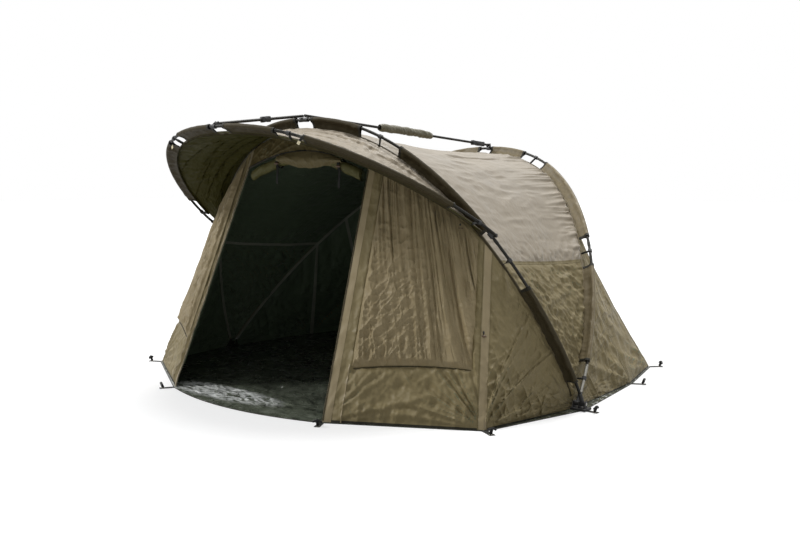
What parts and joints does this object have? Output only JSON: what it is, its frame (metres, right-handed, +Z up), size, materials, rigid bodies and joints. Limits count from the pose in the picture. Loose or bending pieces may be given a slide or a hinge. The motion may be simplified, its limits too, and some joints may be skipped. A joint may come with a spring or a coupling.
{
  "type": "bivvy tent",
  "caption": "Domed bivvy tent on three folding hoops with a jutting peak, an open doorway, ridge bars, a groundsheet and T pegs",
  "frame": {"origin": "on the ground under the middle of the foot pivots' common axis, at the underside of the groundsheet", "axes": "+X across the tent along the foot pivots' axis, +Y towards the back, +Z up; the doorway faces -Y"},
  "size_m": [3.084, 2.5546, 1.6878],
  "materials": {
    "roof_cloth": "coated woven polyester, sheen",
    "wall_cloth": "coated woven polyester",
    "peak_cloth": "coated woven polyester, in shade",
    "sleeve_cloth": "heavy woven polyester",
    "rear_sleeve_cloth": "woven polyester",
    "door_cloth": "coated woven polyester",
    "sheet_vinyl": "heavy coated groundsheet",
    "pole_metal": "black anodised tube",
    "pin_steel": "bright steel",
    "moulding": "black moulded nylon",
    "peg_metal": "black steel with a moulded head"
  },
  "bodies": {
    "rear_bar": {"bar_wrap": "wall_cloth", "rear_bar": "pole_metal", "rear_bar_adjuster": "moulding"},
    "centre_hoop": {"centre_apex_clip": "moulding", "centre_hoop": "pole_metal", "centre_knuckle_left": "moulding", "centre_knuckle_right": "moulding", "centre_sleeve_lower_left": "sleeve_cloth", "centre_sleeve_lower_right": "sleeve_cloth", "centre_sleeve_shoulder_left": "sleeve_cloth", "centre_sleeve_shoulder_right": "sleeve_cloth", "centre_sleeve_upper_left": "sleeve_cloth", "centre_sleeve_upper_right": "sleeve_cloth", "door_header": "wall_cloth", "door_roll": "door_cloth", "front_panel_left": "wall_cloth", "front_panel_right": "wall_cloth", "peak_pivot_clip_left": "moulding", "peak_pivot_clip_right": "moulding", "window_cover_left": "wall_cloth", "window_cover_right": "wall_cloth"},
    "front_bar": {"front_bar": "pole_metal", "front_bar_adjuster": "moulding"},
    "peak_hoop": {"front_bar_bracket": "moulding", "peak_canopy": "peak_cloth", "peak_hoop": "pole_metal", "peak_sleeve_side_left": "sleeve_cloth", "peak_sleeve_side_right": "sleeve_cloth", "peak_sleeve_upper_left": "sleeve_cloth", "peak_sleeve_upper_right": "sleeve_cloth"},
    "root": {"groundsheet": "sheet_vinyl", "pivot_block_left": "moulding", "pivot_block_right": "moulding", "pivot_pin_left": "pin_steel", "pivot_pin_right": "pin_steel", "rear_wall": "wall_cloth"},
    "peg_door_left": {"peg_door_left": "peg_metal"},
    "peg_door_right": {"peg_door_right": "peg_metal"},
    "peg_front_left": {"peg_front_left": "peg_metal"},
    "peg_front_right": {"peg_front_right": "peg_metal"},
    "peg_quarter_left": {"peg_quarter_left": "peg_metal"},
    "peg_quarter_right": {"peg_quarter_right": "peg_metal"},
    "peg_rear_left": {"peg_rear_left": "peg_metal"},
    "peg_rear_right": {"peg_rear_right": "peg_metal"},
    "peg_side_left": {"peg_side_left": "peg_metal"},
    "peg_side_right": {"peg_side_right": "peg_metal"},
    "rear_hoop": {"rear_bar_bracket": "moulding", "rear_hoop": "pole_metal", "rear_knuckle_left": "moulding", "rear_knuckle_right": "moulding", "rear_sleeve_lower_left": "rear_sleeve_cloth", "rear_sleeve_lower_right": "rear_sleeve_cloth", "rear_sleeve_shoulder_left": "rear_sleeve_cloth", "rear_sleeve_shoulder_right": "rear_sleeve_cloth", "rear_sleeve_upper_left": "rear_sleeve_cloth", "rear_sleeve_upper_right": "rear_sleeve_cloth", "roof_panel": "roof_cloth", "side_wall_left": "wall_cloth", "side_wall_right": "wall_cloth"}
  },
  "joints": [
    {"name": "rear_hoop_fold", "type": "hinge", "parent": "root", "child": "rear_hoop", "pos_m": [0, 0, 0.035], "axis": [-1, 0, 0], "range_deg": [0, 39.5], "deforming": ["rear_wall"]},
    {"name": "centre_hoop_fold", "type": "hinge", "parent": "rear_hoop", "child": "centre_hoop", "pos_m": [0, 0, 0.035], "axis": [-1, 0, 0], "range_deg": [0, 51.5], "deforming": ["roof_panel", "side_wall_left", "side_wall_right", "front_panel_left", "front_panel_right", "window_cover_left", "window_cover_right"]},
    {"name": "rear_bar_swing", "type": "hinge", "parent": "rear_hoop", "child": "rear_bar", "pos_m": [0.02, 1.15731, 1.4298], "axis": [-1, 0, 0], "range_deg": [0, 144.5]},
    {"name": "peak_hoop_fold", "type": "hinge", "parent": "centre_hoop", "child": "peak_hoop", "pos_m": [0, -0.34601, 0.91329], "axis": [-1, 0, 0], "range_deg": [0, 28], "deforming": ["peak_canopy"]},
    {"name": "front_bar_swing", "type": "hinge", "parent": "peak_hoop", "child": "front_bar", "pos_m": [-0.02, -1.18, 1.47911], "axis": [1, 0, 0], "range_deg": [0, 60]},
    {"name": "peg_door_left_pull", "type": "slide", "parent": "root", "child": "peg_door_left", "axis": [-0.185, -0.3257, 0.9272], "range_m": [0, 0.16]},
    {"name": "peg_door_right_pull", "type": "slide", "parent": "root", "child": "peg_door_right", "axis": [0.185, -0.3257, 0.9272], "range_m": [0, 0.16]},
    {"name": "peg_front_left_pull", "type": "slide", "parent": "root", "child": "peg_front_left", "axis": [-0.334, -0.1697, 0.9272], "range_m": [0, 0.16]},
    {"name": "peg_front_right_pull", "type": "slide", "parent": "root", "child": "peg_front_right", "axis": [0.334, -0.1697, 0.9272], "range_m": [0, 0.16]},
    {"name": "peg_side_left_pull", "type": "slide", "parent": "root", "child": "peg_side_left", "axis": [-0.3746, 0, 0.9272], "range_m": [0, 0.16]},
    {"name": "peg_side_right_pull", "type": "slide", "parent": "root", "child": "peg_side_right", "axis": [0.3746, 0, 0.9272], "range_m": [0, 0.16]},
    {"name": "peg_quarter_left_pull", "type": "slide", "parent": "root", "child": "peg_quarter_left", "axis": [-0.3285, 0.18, 0.9272], "range_m": [0, 0.16]},
    {"name": "peg_quarter_right_pull", "type": "slide", "parent": "root", "child": "peg_quarter_right", "axis": [0.3285, 0.18, 0.9272], "range_m": [0, 0.16]},
    {"name": "peg_rear_left_pull", "type": "slide", "parent": "root", "child": "peg_rear_left", "axis": [-0.2584, 0.2712, 0.9272], "range_m": [0, 0.16]},
    {"name": "peg_rear_right_pull", "type": "slide", "parent": "root", "child": "peg_rear_right", "axis": [0.2584, 0.2712, 0.9272], "range_m": [0, 0.16]}
  ],
  "couplings": [
    {"joint": "centre_hoop_fold", "follows": "rear_hoop_fold", "ratio": 1.3},
    {"joint": "rear_bar_swing", "follows": "rear_hoop_fold", "ratio": 3.65}
  ]
}
